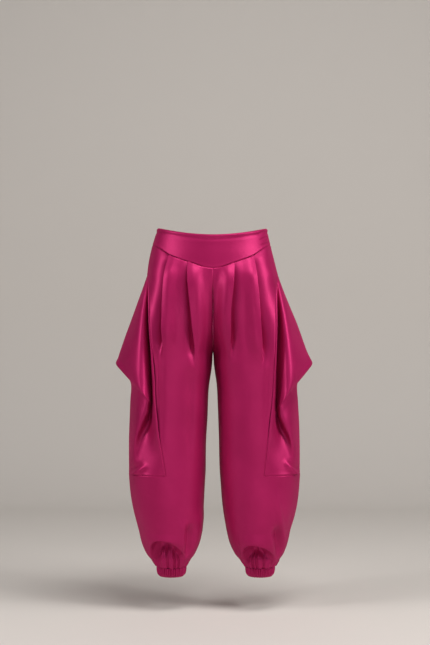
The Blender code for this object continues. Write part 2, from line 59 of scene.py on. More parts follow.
# Rings of the legs: inner and outer ends, depth in front and behind, and how square the ring is.
legRows = table(
    "drop rightInner rightOuter leftInner leftOuter front back square",
    [
        (0.0000, -0.1491, 0.1535, -0.1535, 0.1491, 0.093, 0.093, 0.00),
        (0.0486, -0.1597, 0.1681, -0.1681, 0.1597, 0.100, 0.105, 0.00),
        (0.0764, -0.1667, 0.1750, -0.1750, 0.1667, 0.106, 0.115, 0.02),
        (0.1097, -0.1720, 0.1806, -0.1770, 0.1750, 0.112, 0.125, 0.04),
        (0.1292, -0.1550, 0.1828, -0.1570, 0.1800, 0.115, 0.130, 0.06),
        (0.1986, -0.0950, 0.1940, -0.0950, 0.1920, 0.118, 0.136, 0.10),
        (0.2681, -0.0420, 0.2045, -0.0420, 0.2060, 0.117, 0.132, 0.12),
        (0.3431, 0.0000, 0.2170, 0.0000, 0.2190, 0.113, 0.122, 0.12),
        (0.3750, 0.0030, 0.2212, 0.0028, 0.2244, 0.112, 0.119, 0.11),
        (0.4319, 0.0108, 0.2272, 0.0102, 0.2322, 0.109, 0.114, 0.10),
        (0.5097, 0.0153, 0.2297, 0.0145, 0.2352, 0.106, 0.110, 0.08),
        (0.5986, 0.0192, 0.2331, 0.0172, 0.2397, 0.104, 0.107, 0.06),
        (0.6903, 0.0214, 0.2328, 0.0203, 0.2406, 0.102, 0.104, 0.05),
        (0.7764, 0.0264, 0.2214, 0.0278, 0.2319, 0.097, 0.098, 0.04),
        (0.8375, 0.0320, 0.2060, 0.0372, 0.2144, 0.089, 0.090, 0.03),
    ],
)
# Lower edge of the front yoke over the share of the half width.
yokeEdge = table(
    "share drop",
    [
        (0.000, 0.1140),
        (0.080, 0.1125),
        (0.370, 0.0974),
        (0.680, 0.0779),
        (0.945, 0.0510),
        (1.000, 0.0466),
    ],
)
# Angle of the drape's seams on each leg's ring, in degrees in front of or behind the side.
drapeSeam = table(
    "drop right left",
    [
        (0.1300, 13.0, 13.0),
        (0.1914, 30.4, 31.4),
        (0.2678, 46.6, 47.6),
        (0.3353, 61.1, 59.8),
        (0.4028, 69.3, 67.3),
        (0.4975, 74.5, 73.6),
        (0.5785, 80.7, 79.7),
        (0.6272, 85.6, 83.1),
        (0.6772, 90.0, 86.2),
    ],
)
# Fold line of each pleat as widths at four drops, where it ends and how far it stands up.
pleats = {
    ("right", "inner"): dict(widths=(0.0679, 0.0658, 0.0603, 0.0520), ends=0.378, lift=0.0072),
    ("right", "outer"): dict(widths=(0.1181, 0.1257, 0.1335, 0.1387), ends=0.355, lift=0.0100),
    ("left", "inner"): dict(widths=(0.0577, 0.0541, 0.0495, 0.0510), ends=0.365, lift=0.0064),
    ("left", "outer"): dict(widths=(0.1089, 0.1139, 0.1235, 0.1345), ends=0.380, lift=0.0090),
}
pleatDrops = {"inner": (0.0985, 0.160, 0.230, 0.340), "outer": (0.0800, 0.140, 0.214, 0.342)}
pleatShape = dict(
    lift=1.15,
    sewnHeight=0.35,  # share of the height where the yoke holds the pleat
    risesOver=0.060,
    closesOver=0.10,
    unfoldsOver=0.07,
    climbsOver=0.030,
    tucked=2.2,  # how far the cloth doubles back in the fold
    halfWidth=0.0068,
    opened=0.0172,  # added to the half width below the pleat
    dip={"inner": 1.2, "outer": 2.0},  # in heights of the pleat
    dipReach={"inner": 0.013, "outer": 0.045},
    evenShare={"inner": 0.333, "outer": 0.762},
    evensOver=0.16,
)

# Front half of a side drape: width out, forward depth and drop of its lines at each station.
# The under line lies midway down between valley and crest, in the pocket beside the crest.
drapeRows = table(
    "valleyOut valleyFore valleyDrop underOut underFore crestOut crestFore crestDrop",
    [
        (0.1785, 0.041, 0.190, 0.1820, 0.047, 0.1860, 0.050, 0.189),
        (0.1755, 0.040, 0.268, 0.1790, 0.062, 0.1850, 0.080, 0.268),
        (0.1700, 0.050, 0.352, 0.1735, 0.078, 0.1820, 0.099, 0.352),
        (0.1670, 0.060, 0.430, 0.1695, 0.090, 0.1780, 0.111, 0.430),
        (0.1655, 0.056, 0.492, 0.1680, 0.092, 0.1750, 0.114, 0.464),
        (0.1665, 0.054, 0.482, 0.1690, 0.076, 0.1750, 0.098, 0.474),
        (0.1700, 0.050, 0.504, 0.1750, 0.074, 0.1765, 0.096, 0.502),
        (0.1750, 0.056, 0.536, 0.1880, 0.068, 0.1895, 0.090, 0.534),
        (0.1820, 0.066, 0.578, 0.2040, 0.060, 0.2055, 0.079, 0.572),
        (0.1860, 0.0755, 0.622, 0.2060, 0.062, 0.2140, 0.066, 0.618),
    ],
)
drapeRows.update(table(
    "wingOut wingFore wingDrop edgeOut edgeDrop sag",
    [
        (0.1985, 0.031, 0.189, 0.2035, 0.189, 0.000),
        (0.2120, 0.054, 0.268, 0.2325, 0.268, 0.000),
        (0.2215, 0.068, 0.343, 0.2575, 0.338, 0.001),
        (0.2200, 0.079, 0.395, 0.2640, 0.3570, 0.004),
        (0.2100, 0.087, 0.435, 0.2700, 0.3765, 0.012),
        (0.2080, 0.052, 0.424, 0.2480, 0.401, 0.014),
        (0.2090, 0.052, 0.452, 0.2285, 0.430, 0.014),
        (0.2150, 0.054, 0.500, 0.2300, 0.482, 0.010),
        (0.2225, 0.046, 0.556, 0.2325, 0.545, 0.006),
        (0.2280, 0.034, 0.616, 0.2335, 0.614, 0.002),
    ],
))
drapeSeamDrops = (0.130, 0.190, 0.268, 0.345, 0.420, 0.446, 0.462, 0.490, 0.520, 0.570, 0.622, 0.6772)
drapeLines = (0, 1, 3, 4, 5, 7, 8, 9)
drapeEnd = 18  # the same count at the back seam
drapeShape = dict(
    rowLength=0.0032,
    columns=127,
    softened=14,
    rounded=50,
    roundedAt=5.3,
    roundedReach=1.3,
    flat=(0.62, 0.64),
    area=0.197,
)

# Blouse over the cuff: level and ring size at the sides, raised arch and ring size in front and behind.
blouseRows = table(
    "drop size arch frontSize backArch backSize",
    [
        (0.8375, 1.000, 0.00, 1.000, 0.00, 1.000),
        (0.8680, 0.925, 0.27, 1.000, 0.12, 0.985),
        (0.8905, 0.830, 0.62, 0.990, 0.25, 0.950),
        (0.9060, 0.735, 0.93, 0.955, 0.40, 0.870),
        (0.9145, 0.655, 1.22, 0.700, 0.50, 0.740),
        (0.9215, 0.600, 0.98, 0.455, 0.30, 0.660),
        (0.9285, 0.535, 0.40, 0.545, 0.12, 0.580),
        (0.9376, 0.468, 0.00, 0.468, 0.00, 0.468),
    ],
)
archRise = {"right": 0.058, "left": 0.042}
gatherHeight = 0.0018
gathers = table(
    "waves wander size start",
    [
        (17, 2.2, 1.0, 0.0),
        (29, 0.0, 0.6, 1.3),
        (11, 0.0, 0.7, 0.6),
    ],
)

cuffMiddle = {"right": 0.1153, "left": 0.1306}
cuffRows = table(
    "drop width depth",
    [
        (0.9380, 0.0403, 0.0405),
        (0.9500, 0.0396, 0.0398),
        (0.9585, 0.0368, 0.0372),
        (0.9640, 0.0318, 0.0325),
    ],
)
cuffShape = dict(
    thickness=0.0014,
    top=0.9381,
    columns=505,
    rows=26,
    ribs=42,
    ribHeight=0.0013,
    fineRibs=61,
    fineHeight=0.0006,
    flat=(0.36, 0.028),
)
yokeShape = dict(thickness=0.0016, halfWidth=0.1515, dipFront=0.0217, dipBack=0.012, backMiddle=0.080)

# Soft folds on the legs: from and to as width out and drop, width and height, front (1) or back (-1).
foldColumns = "outA dropA outB dropB width height facing"
legFolds = {
    "right": table(
        foldColumns,
        [
            (0.0840, 0.780, 0.0740, 0.890, 0.012, 0.005, 1),
            (0.0640, 0.805, 0.0600, 0.895, 0.013, -0.015, 1),
            (0.0320, 0.760, 0.0450, 0.890, 0.012, 0.005, 1),
            (0.1500, 0.240, 0.1470, 0.560, 0.012, -0.0070, 1),
            (0.0610, 0.360, 0.0600, 0.600, 0.010, -0.0030, 1),
            (0.0000, 0.120, 0.0000, 0.290, 0.022, -0.0060, 1),
            (0.1540, 0.300, 0.1420, 0.350, 0.007, 0.0022, 1),
            (0.0660, 0.340, 0.0600, 0.390, 0.012, 0.0020, 1),
            (0.0700, 0.20, 0.0900, 0.420, 0.020, 0.0040, -1),
            (0.0900, 0.72, 0.0750, 0.885, 0.012, 0.0070, -1),
        ],
    ),
    "left": table(
        foldColumns,
        [
            (0.1640, 0.690, 0.1970, 0.875, 0.008, 0.005, 1),
            (0.1730, 0.805, 0.1860, 0.895, 0.012, -0.015, 1),
            (0.1540, 0.330, 0.1500, 0.560, 0.011, -0.0035, 1),
            (0.0000, 0.120, 0.0000, 0.290, 0.022, -0.0060, 1),
            (0.1380, 0.320, 0.1440, 0.400, 0.010, 0.0015, 1),
            (0.0760, 0.19, 0.0860, 0.400, 0.020, 0.0040, -1),
            (0.1600, 0.73, 0.1780, 0.885, 0.012, 0.0070, -1),
        ],
    ),
}

# Creases that pull from the corner of the cross seam up over the drape.
drapeFolds = {
    "right": table(
        foldColumns,
        [
            (0.2330, 0.690, 0.1860, 0.653, 0.007, 0.0065, 1),
            (0.2330, 0.668, 0.1960, 0.648, 0.007, -0.0030, 1),
            (0.2300, 0.690, 0.1830, 0.640, 0.006, 0.0040, -1),
        ],
    ),
    "left": table(
        foldColumns,
        [
            (0.2390, 0.695, 0.2010, 0.644, 0.007, 0.0065, 1),
            (0.2390, 0.672, 0.2080, 0.640, 0.007, -0.0030, 1),
            (0.2350, 0.690, 0.1880, 0.642, 0.006, 0.0040, -1),
        ],
    ),
}

# Small puckers of the yoke beside the closing in its left end.
closingFolds = table(
    foldColumns,
    [
        (0.120, 0.020, 0.146, 0.008, 0.0024, -0.0018, 1),
        (0.126, 0.036, 0.150, 0.025, 0.0022, -0.0015, 1),
        (0.130, 0.050, 0.153, 0.041, 0.0022, -0.0013, 1),
    ],
)

# How much further out the crest of each wing lies than on its plain line, at the ten stations.
crestShift = {
    "right": np.array([0.0, 0.002, 0.005, 0.008, 0.004, 0.0, 0.0, 0.0, 0.0, 0.0]),
    "left": np.array([0.0, 0.004, 0.012, 0.014, 0.006, 0.0, -0.003, -0.004, -0.005, -0.004]),
}


def smooth(at, knots, values):
    # Cubic curve through rows of values: each piece is a Hermite cubic whose end slopes are the
    # step-weighted means of the slopes on both sides.
    at = np.asarray(at, float)
    knots = np.asarray(knots, float)
    values = np.asarray(values, float)
    step = np.diff(knots)
    tail = (1,) * (values.ndim - 1)
    rise = np.diff(values, axis=0) / step.reshape((-1,) + tail)
    slope = np.empty_like(values)
    slope[0] = rise[0]
    slope[-1] = rise[-1]
    before = step[:-1].reshape((-1,) + tail)
    after = step[1:].reshape((-1,) + tail)
    slope[1:-1] = (rise[:-1] * after + rise[1:] * before) / (before + after)
    index = np.clip(np.searchsorted(knots, at) - 1, 0, len(step) - 1)
    share = ((at - knots[index]) / step[index]).reshape(at.shape + tail)
    width = step[index].reshape(at.shape + tail)
    square = share ** 2
    cube = share ** 3
    start = (2 * cube - 3 * square + 1) * values[index]
    start = start + (cube - 2 * square + share) * width * slope[index]
    end = (3 * square - 2 * cube) * values[index + 1] + (cube - square) * width * slope[index + 1]
    return start + end


def ease(value):
    # 0 to 1 with no slope at either end: 3v^2 - 2v^3.
    value = np.clip(value, 0.0, 1.0)
    return value * value * (3 - 2 * value)


def bump(value, width):
    # Bell: e to the minus (value / width) squared.
    return np.exp(-(value / width) ** 2)


def sideSign(side):
    # X runs to the wearer's left.
    return 1.0 if side == "left" else -1.0


def ringSize(side, level):
    # Middle, half width, front depth, back depth and squareness of a leg's ring at a drop.
    drops = legRows["drop"]
    inner = smooth(level, drops, legRows[side + "Inner"])
    outer = smooth(level, drops, legRows[side + "Outer"])
    front = smooth(level, drops, legRows["front"])
    back = smooth(level, drops, legRows["back"])
    square = smooth(level, drops, legRows["square"])
    return (inner + outer) / 2, (outer - inner) / 2, front, back, square


def turnForWidth(side, level, out):
    # Angle whose ring point is a given width out: solves c (1 + k (1 - c^2)) = (out - middle) / half
    # by repetition.
    middle, half, _, _, square = ringSize(side, level)
    target = (out - middle) / half
    cosine = np.clip(target, -1, 1)
    for _ in range(10):
        cosine = np.clip(target / (1 + square * (1 - cosine ** 2)), -1, 1)
    return np.arccos(cosine)


def middleTurn(side, level):
    # Angle at which the ring meets the centre seam above and the inseam below.
    front = ringSize(side, level)[2]
    return np.minimum(turnForWidth(side, level, seamGap / 2), math.pi - seamGap / 2 / front)


def onRing(side, turn, level, drop=None, lift=0.0, size=1.0):
    # Out is middle + half cos t (1 + k sin^2 t), forward is depth sin t (1 + k cos^2 t).
    # Lift pushes the point out along the ring's own normal, size shrinks the ring towards the cuff.
    turn, level, size = np.broadcast_arrays(np.asarray(turn, float), level, size)
    middle, half, front, back, square = ringSize(side, level)
    inward = np.clip((1 - size) / (1 - blouseRows["size"][-1]), 0, 1)
    middle = middle + (cuffMiddle[side] - middle) * inward
    deep = np.where(turn >= 0, front, back)
    sine = np.sin(turn)
    cosine = np.cos(turn)
    out = middle + size * half * cosine * (1 + square * sine ** 2)
    fore = size * deep * sine * (1 + square * cosine ** 2)
    slopeOut = half * (-sine * (1 + square * sine ** 2) + 2 * square * sine * cosine ** 2)
    slopeFore = deep * (cosine * (1 + square * cosine ** 2) - 2 * square * cosine * sine ** 2)
    length = np.sqrt(slopeOut ** 2 + slopeFore ** 2)
    out = out + lift * slopeFore / length
    fore = fore - lift * slopeOut / length
    height = -np.broadcast_to(level if drop is None else drop, turn.shape)
    return np.stack([sideSign(side) * out, -fore, height], axis=-1)


def frontEdgeDrop(points):
    # Drop of the front yoke's lower edge at each point's share of the half width.
    half = np.where(points[..., 0] > 0, legRows["leftOuter"][1], legRows["rightOuter"][1])
    return smooth(np.clip(np.abs(points[..., 0]) / half, 0, 1), yokeEdge["share"], yokeEdge["drop"])


def backEdgeDrop(points):
    # The back yoke's edge rises from the middle to the sides with share^1.6.
    half = np.where(points[..., 0] > 0, legRows["leftOuter"][1], legRows["rightOuter"][1])
    share = np.clip(np.abs(points[..., 0]) / half, 0, 1)
    return yokeShape["backMiddle"] + (yokeSideDrop - yokeShape["backMiddle"]) * share ** 1.6


def followRows(rowDrop, edge):
    # Rows start on the yoke's edge and straighten in even shares until they lie level.
    share = (rowDrop - yokeSideDrop) / (levelRowsFrom - yokeSideDrop)
    top = edge + seamGap / 2
    return np.where(share < 1, top + share * (levelRowsFrom - top), rowDrop)


def seamTurn(side, level):
    # The drape seam's angle, held level above the hip and below the cross seam.
    held = np.clip(level, hipDrop, crossSeamDrop)
    return np.radians(smooth(held, drapeSeam["drop"], drapeSeam[side]))


def pleatTurn(side, name, drop, seam, middle):
    # The fold line's angle, easing to an even share of the panel below the pleat.
    drops = pleatDrops[name]
    held = np.minimum(drop, drops[-1])
    line = turnForWidth(side, drop, smooth(held, drops, pleats[side, name]["widths"]))
    even = middle + (seam - middle) * pleatShape["evenShare"][name]
    return line + (even - line) * ease((drop - drops[-1]) / pleatShape["evensOver"])


def pleatHeight(side, name, drop):
    # Height of a pleat, and how far its cloth doubles back: low but folded at the yoke, highest
    # below it and open again where the pleat ends.
    pleat = pleats[side, name]
    sewnHeight = pleatShape["sewnHeight"]
    rising = sewnHeight + (1 - sewnHeight) * ease((drop - pleatDrops[name][0]) / pleatShape["risesOver"])
    closing = ease((pleat["ends"] + 0.010 - drop) / pleatShape["closesOver"])
    folded = ease((pleat["ends"] - 0.010 - drop) / pleatShape["unfoldsOver"])
    return pleatShape["lift"] * pleat["lift"] * rising * closing, folded


def frontColumns(side, part, share, drop):
    # Angle and lift over a front. Parts 0, 2 and 4 are the flats between the folds: just before the
    # next fold the cloth climbs to h as h (3s^2 - 2s^3), and beyond a fold it comes up out of a dip
    # as -g e^(-x / reach). Parts 1 and 3 are the folds: the cloth goes aside as (1 + a) p^3 - a p,
    # so it doubles back under itself, while it sinks from h to -g. The foremost edge is the fold line.
    seam = seamTurn(side, drop)
    half = ringSize(side, drop)[1]
    middle = middleTurn(side, drop)
    opened = pleatShape["opened"] * ease((drop - 0.37) / 0.16)
    spread = (pleatShape["halfWidth"] + opened) / half
    lines = {}
    for name in ("inner", "outer"):
        height, over = pleatHeight(side, name, drop)
        line = pleatTurn(side, name, drop, seam, middle) + 0.7 * over * spread
        lines[name] = (line, height, over, pleatShape["dip"][name] * height)
    inner, innerHeight, innerOver, innerDip = lines["inner"]
    outer, outerHeight, outerOver, outerDip = lines["outer"]
    place = 2 * share - 1
    sink = 1 - ease((place + 0.6) / 1.2)
    aside = (1 + pleatShape["tucked"]) * place ** 3 - pleatShape["tucked"] * place
    end = seam + seamGap / 2 / half
    widths = [inner + spread - middle, outer - inner + 2 * spread, end - outer + spread]
    widths = [np.abs(width) * half for width in widths]

    def climb(width):
        # Up to the fold that follows.
        return ease(1 - (1 - share) * width / pleatShape["climbsOver"])

    def dipped(width, name):
        # Out of the dip beyond a fold.
        return np.exp(-share * width / pleatShape["dipReach"][name])

    turn = np.select(
        [part == 0, part == 1, part == 2, part == 3],
        [
            middle + (inner + spread - middle) * share,
            inner - ((1 - innerOver) * place + innerOver * aside) * spread,
            inner - spread + (outer + spread - inner + spread) * share,
            outer - ((1 - outerOver) * place + outerOver * aside) * spread,
        ],
        outer - spread + (end - outer + spread) * share,
    )
    lift = np.select(
        [part == 0, part == 1, part == 2, part == 3],
        [
            innerHeight * climb(widths[0]),
            innerHeight * sink - innerDip * (1 - sink),
            outerHeight * climb(widths[1]) - innerDip * dipped(widths[1], "inner"),
            outerHeight * sink - outerDip * (1 - sink),
        ],
        -outerDip * dipped(widths[2], "outer") * (1 - share),
    )
    return turn, lift


def backColumns(side, part, share, drop):
    # Angle over a back, in even shares from the centre seam to the drape seam.
    seam = seamTurn(side, drop) + seamGap / 2 / ringSize(side, drop)[1]
    middle = middleTurn(side, drop)
    return -(middle + (seam - middle) * share), 0.0 * share


def foldPush(folds, out, drop, front):
    # Each soft fold is a ridge or trough with a bell section along a line from A to B.
    push = np.zeros(np.shape(out))
    for index in range(len(folds["width"])):
        start = np.array([folds["outA"][index], folds["dropA"][index]])
        span = np.array([folds["outB"][index], folds["dropB"][index]]) - start
        along = ((out - start[0]) * span[0] + (drop - start[1]) * span[1]) / (span @ span)
        off = ((out - start[0]) * span[1] - (drop - start[1]) * span[0]) / math.sqrt(span @ span)
        fade = ease(along / 0.4) * ease((1.25 - along) / 0.5)
        shown = front * folds["facing"][index] > 0
        height = folds["height"][index] * fade * bump(off, folds["width"][index])
        push = push + np.where(shown, height, 0.0)
    return push


def foldLift(side, turn, level):
    # The legs' soft folds at points of the ring.
    return foldPush(legFolds[side], sideSign(side) * onRing(side, turn, level)[..., 0], level, turn)


def arch(side, turn):
    # Share of the arch's height: half a sine wave over the ring, leaning to one side in front.
    cosine = np.cos(turn)
    front = (0.80 - cosine) / 1.50 if side == "right" else (cosine + 0.70) / 1.40
    share = np.clip(np.where(turn >= 0, front, (cosine + 0.85) / 1.70), 0, 1)
    return np.sin(math.pi * share ** np.where(turn >= 0, 0.675, 1.0))


def blouse(side, turn, station):
    # Between the shin and the cuff each row mixes the side profile and the arched profile. The
    # gathers are a sum of size cos(waves t + wander sin 3t + start).
    lifted = arch(side, turn)
    knots = np.arange(len(blouseRows["drop"]))
    values = {name: smooth(station, knots, column) for name, column in blouseRows.items()}
    faces = turn >= 0
    rise = np.where(faces, values["arch"], values["backArch"])
    full = np.where(faces, values["frontSize"], values["backSize"])
    drop = values["drop"] - archRise[side] * rise * lifted
    size = values["size"] + (full - values["size"]) * lifted
    wave = 0.0
    for waves, wander, share, start in zip(*gathers.values()):
        wave = wave + share * np.cos(waves * turn + wander * np.sin(3 * turn) + start)
    return drop, size, gatherHeight * ease((station - 4.0) / 2.0) * wave


def blouseGrid(side, turn, stations):
    # Rows of the blouse from under the shin to the cuff, at the angles of the row above.
    station = stations[:, None]
    turn = np.broadcast_to(turn, (len(stations), len(turn)))
    drop, size, gather = blouse(side, turn, station)
    push = foldLift(side, turn, drop) * ease((3.9 - station) / 0.9) + gather
    return onRing(side, turn, np.full(turn.shape, blouseDrop), drop=drop, lift=push, size=size)


nearSeam = np.array([0.0005, 0.0010, 0.0016, 0.0024, 0.0036, 0.0054])  # closer rows beside a seam


def crowded(start, end, count, atStart=False, atEnd=False):
    # Even steps, and closer ones beside the ends that are seams.
    places = [np.linspace(start, end, count + 1)]
    if atStart:
        places.append(start + nearSeam)
    if atEnd:
        places.append(end - nearSeam)
    places = np.unique(np.concatenate(places))
    return places[np.concatenate([[True], np.diff(places) > 0.0002])]


upperDrops = crowded(yokeSideDrop, hipDrop, 24, atStart=True)
middleDrops = crowded(hipDrop, crossSeamDrop, 132, atEnd=True)
lowerDrops = crowded(crossSeamDrop, blouseDrop, 44, atStart=True)
rowDrops = np.concatenate([upperDrops[:-1], middleDrops[:-1], lowerDrops])
hipRow = len(upperDrops) - 1
crossRow = hipRow + len(middleDrops) - 1
blouseStations = np.unique(np.concatenate([np.linspace(0, 7, 85)[1:], 7 - nearSeam * 110]))


def softWaves(points, seed):
    # Slow unevenness of the cloth: three long waves across and down, 1 mm at most.
    x, y, z = points[..., 0], points[..., 1], points[..., 2]
    first = np.sin(38 * x + 17 * z + seed) * np.sin(29 * z - 11 * y + 2 * seed)
    second = np.sin(71 * y - 23 * z + 3 * seed) * np.sin(19 * z + 47 * x)
    third = np.sin(120 * x + 33 * z + 5 * seed) * np.sin(61 * z + 80 * y + seed)
    return 0.0005 * first + 0.0003 * second + 0.00015 * third


def puff(belowYoke, fromCentre, fromDrape):
    # The cloth springs out below the yoke as 1 - e^(-d / 20 mm) and settles by 200 mm further down.
    springs = 1 - np.exp(-np.maximum(belowYoke, 0) / 0.020)
    settles = 1 - ease((belowYoke - 0.04) / 0.16)
    return springs * settles * ease(fromCentre / 0.045) * ease(fromDrape / 0.100)


def legGrid(side, columns, part, share, edgeDrop, puffHeight):
    # The grid follows the yoke above: each point's drop and angle are found together by repetition.
    drop = np.repeat(rowDrops[:, None], len(share), axis=1)
    for _ in range(6):
        turn, lift = columns(side, part, share, drop)
        edge = edgeDrop(onRing(side, turn, drop))
        drop = followRows(rowDrops[:, None], edge)
    half = ringSize(side, drop)[1]
    fromCentre = np.abs(turn - turn[:, :1]) * half
    fromDrape = np.abs(turn - turn[:, -1:]) * half
    lift = lift + puffHeight * puff(drop - edge, fromCentre, fromDrape)
    upper = onRing(side, turn, drop, lift=lift + foldLift(side, turn, drop))
    return np.concatenate([upper, blouseGrid(side, turn[-1], blouseStations)])


def lowerGrid(side, facing, firstColumn):
    # Below the cross seam, from under the drape seam round to the side seam.
    drops = rowDrops[crossRow:].copy()
    drops[0] += seamGap
    share = crowded(0, 0.16, 44, atEnd=True) / 0.16
    half = ringSize(side, drops)[1]
    start = seamTurn(side, drops) + seamGap / 2 / half
    turn = facing * np.maximum(start[:, None] * (1 - share), seamGap / 2 / meanRadius)
    level = np.repeat(drops[:, None], len(share), axis=1)
    grid = onRing(side, turn, level, lift=foldLift(side, turn, level))
    grid = np.concatenate([grid, blouseGrid(side, turn[-1], blouseStations)])
    grid[:, 0] = firstColumn[crossRow:]
    return grid


def upperGrid(side, facing, seamColumn):
    # Strip between the drape's top end and the side seam, up to the yoke.
    edgeDrop = frontEdgeDrop if facing > 0 else backEdgeDrop
    drops = rowDrops[:hipRow + 1]
    first = turnForWidth(side, drops, np.abs(seamColumn[:hipRow + 1, 0]))
    share = crowded(0, 0.04, 6, atEnd=True) / 0.04
    turn = facing * np.maximum(first[:, None] * (1 - share), seamGap / 2 / hipRadius)
    drop = np.repeat(drops[:, None], len(share), axis=1)
    for _ in range(3):
        drop = followRows(drops[:, None], edgeDrop(onRing(side, turn, drop)))
    grid = onRing(side, turn, drop)
    grid[:, 0] = seamColumn[:hipRow + 1]
    return grid


crestShare = {"valley": 0.0, "under": 0.5, "crest": 1.0, "wing": 0.3}  # of crestShift on each line


def drapeNet(side):
    # Lines of the drape from the front seam over its outer edge to the back seam, a row per station.
    # The back half is the front half turned over and scaled to the leg's depth behind.
    count = len(drapeSeamDrops)
    levels = np.array(drapeSeamDrops)
    left = 1 if side == "left" else 0
    sag = drapeRows["sag"] * left
    outerRight = smooth(levels[1:-1], legRows["drop"], legRows["rightOuter"])
    outerLeft = smooth(levels[1:-1], legRows["drop"], legRows["leftOuter"])
    wider = (outerLeft - outerRight + 0.001) * left
    half = ringSize(side, levels)[1]
    seam = seamTurn(side, levels) - seamGap / 2 / half
    last = 2 * len(drapeLines)
    middle = len(drapeLines)
    net = np.zeros((count, last + 1, 3))
    depthShare = smooth(levels, legRows["drop"], legRows["back"] / legRows["front"])
    edgeOut = sideSign(side) * (drapeRows["edgeOut"] + wider)
    edge = np.stack([edgeOut, np.zeros(count - 2), -drapeRows["edgeDrop"]], -1)
    for facing in (1, -1):
        first = 0 if facing > 0 else last
        backShare = np.ones(count) if facing > 0 else depthShare
        for column, shift in ((0, 0.012), (1, 0.0), (2, -0.006)):
            net[:, first + facing * column] = onRing(side, facing * (seam + shift / half), levels)
        for name, column in (("valley", 3), ("under", 4), ("crest", 5), ("wing", 6)):
            weight = 0.4 if name == "wing" else 1.0
            if name == "under":
                level = (drapeRows["valleyDrop"] + drapeRows["crestDrop"]) / 2
            else:
                level = drapeRows[name + "Drop"]
            line = np.zeros((count, 3))
            shift = crestShift[side] * crestShare[name]
            line[1:-1, 0] = sideSign(side) * (drapeRows[name + "Out"] + wider + shift)
            line[1:-1, 1] = -facing * drapeRows[name + "Fore"] * backShare[1:-1]
            line[1:-1, 2] = -(level + sag * weight)
            net[:, first + facing * column] = line
        wing = net[1:-1, first + facing * 6]
        net[1:-1, first + facing * 7] = edge + (wing - edge) * np.array([0.16, 0.30, 0.16])
    net[1:-1, middle] = edge
    for row in (0, count - 1):
        front = seam[row] * (1 - np.array(drapeLines) / 9)
        net[row, 1:middle + 1] = onRing(side, front, np.full(middle, levels[row]))
        net[row, middle + 1:last] = onRing(side, -front[:-1][::-1], np.full(middle - 1, levels[row]))
    net[0, :, 2] -= seamGap / 2
    net[-1, :, 2] += seamGap / 2
    return net


def drapeGrid(side):
    # The net's rows and then its columns are drawn through by cubic curves, with the samples spaced
    # by the mean length of each stretch. Each sample then moves to (before + 2 itself + after) / 4,
    # and near the under line and the crest half way to the mean of both, a number of times.
    net = drapeNet(side)
    lengths = np.linalg.norm(np.diff(net[:, 2:-2], axis=0), axis=-1).mean(axis=1)
    counts = np.maximum(np.round(lengths / drapeShape["rowLength"]).astype(int), 8)
    stations = [index + np.arange(count) / count for index, count in enumerate(counts)]
    stations += [nearSeam / lengths[0], len(counts) - nearSeam / lengths[-1], [len(counts)]]
    stations = np.unique(np.concatenate(stations))
    rows = smooth(stations, np.arange(len(net)), net)
    behind = [drapeEnd - line for line in reversed(drapeLines)]
    lines = np.array([-1, *drapeLines[:-1], *behind, drapeEnd + 1], float)
    even = np.linspace(0, drapeEnd, drapeShape["columns"])
    across = np.unique(np.concatenate([even, nearSeam * 60, drapeEnd - nearSeam * 60]))
    grid = smooth(across, lines, rows.transpose(1, 0, 2)).transpose(1, 0, 2)
    for _ in range(drapeShape["softened"]):
        grid[:, 1:-1] = (grid[:, :-2] + 2 * grid[:, 1:-1] + grid[:, 2:]) / 4
    fromEnd = np.minimum(across, drapeEnd - across)
    rounder = 0.5 * bump(fromEnd - drapeShape["roundedAt"], drapeShape["roundedReach"])[1:-1, None]
    for _ in range(drapeShape["rounded"]):
        grid[:, 1:-1] += rounder * ((grid[:, :-2] + grid[:, 2:]) / 2 - grid[:, 1:-1])
    return grid


def yokeGrid(facing):
    # From the right side over the middle to the left; rows in even shares between the two edges.
    edgeDrop = frontEdgeDrop if facing > 0 else backEdgeDrop
    dip = yokeShape["dipFront"] if facing > 0 else yokeShape["dipBack"]
    start = seamGap / 2 / meanRadius
    share = (crowded(0, 0.08, 40, atStart=True, atEnd=True) / 0.08)[:, None]
    halves = []
    for side in ("right", "left"):
        across = crowded(0, 0.23, 70, atStart=True) / 0.23
        level = np.full((len(share), len(across)), 0.05)
        for _ in range(8):
            full = turnForWidth(side, level[:, -1:], 0.0)
            turn = facing * (start + (full - start) * across)
            points = onRing(side, turn, level)
            top = dip * (1 - np.clip(np.abs(points[..., 0]) / yokeShape["halfWidth"], 0, 1) ** 2)
            level = top + (edgeDrop(points) - seamGap / 2 - top) * share
        halves.append(onRing(side, turn, level))
    return np.concatenate([halves[0], halves[1][:, ::-1][:, 1:]], axis=1)


def cuffGrid(side):
    # Ring whose radius ripples with the gathers and narrows to a rounded lower edge.
    angle = np.linspace(0, 2 * math.pi, cuffShape["columns"])
    angle[-1] = 0.0
    drops = np.linspace(cuffShape["top"], cuffRows["drop"][-1], cuffShape["rows"])[:, None]
    width = smooth(drops, cuffRows["drop"], cuffRows["width"])
    depth = smooth(drops, cuffRows["drop"], cuffRows["depth"])
    lean = 2.0 * np.sin(3 * angle + 1.0) * (drops - 0.938)
    held = 1 - 0.5 * ease((drops - 0.938) / 0.008)
    ripple = cuffShape["ribHeight"] * np.cos(cuffShape["ribs"] * angle + 4 * lean)
    ripple = ripple + cuffShape["fineHeight"] * held * np.cos(cuffShape["fineRibs"] * angle - 9 * lean)
    x = sideSign(side) * cuffMiddle[side] + (width + ripple) * np.cos(angle)
    y = (depth + ripple) * np.sin(angle)
    return np.stack([x, y, -np.broadcast_to(drops, x.shape)], -1)


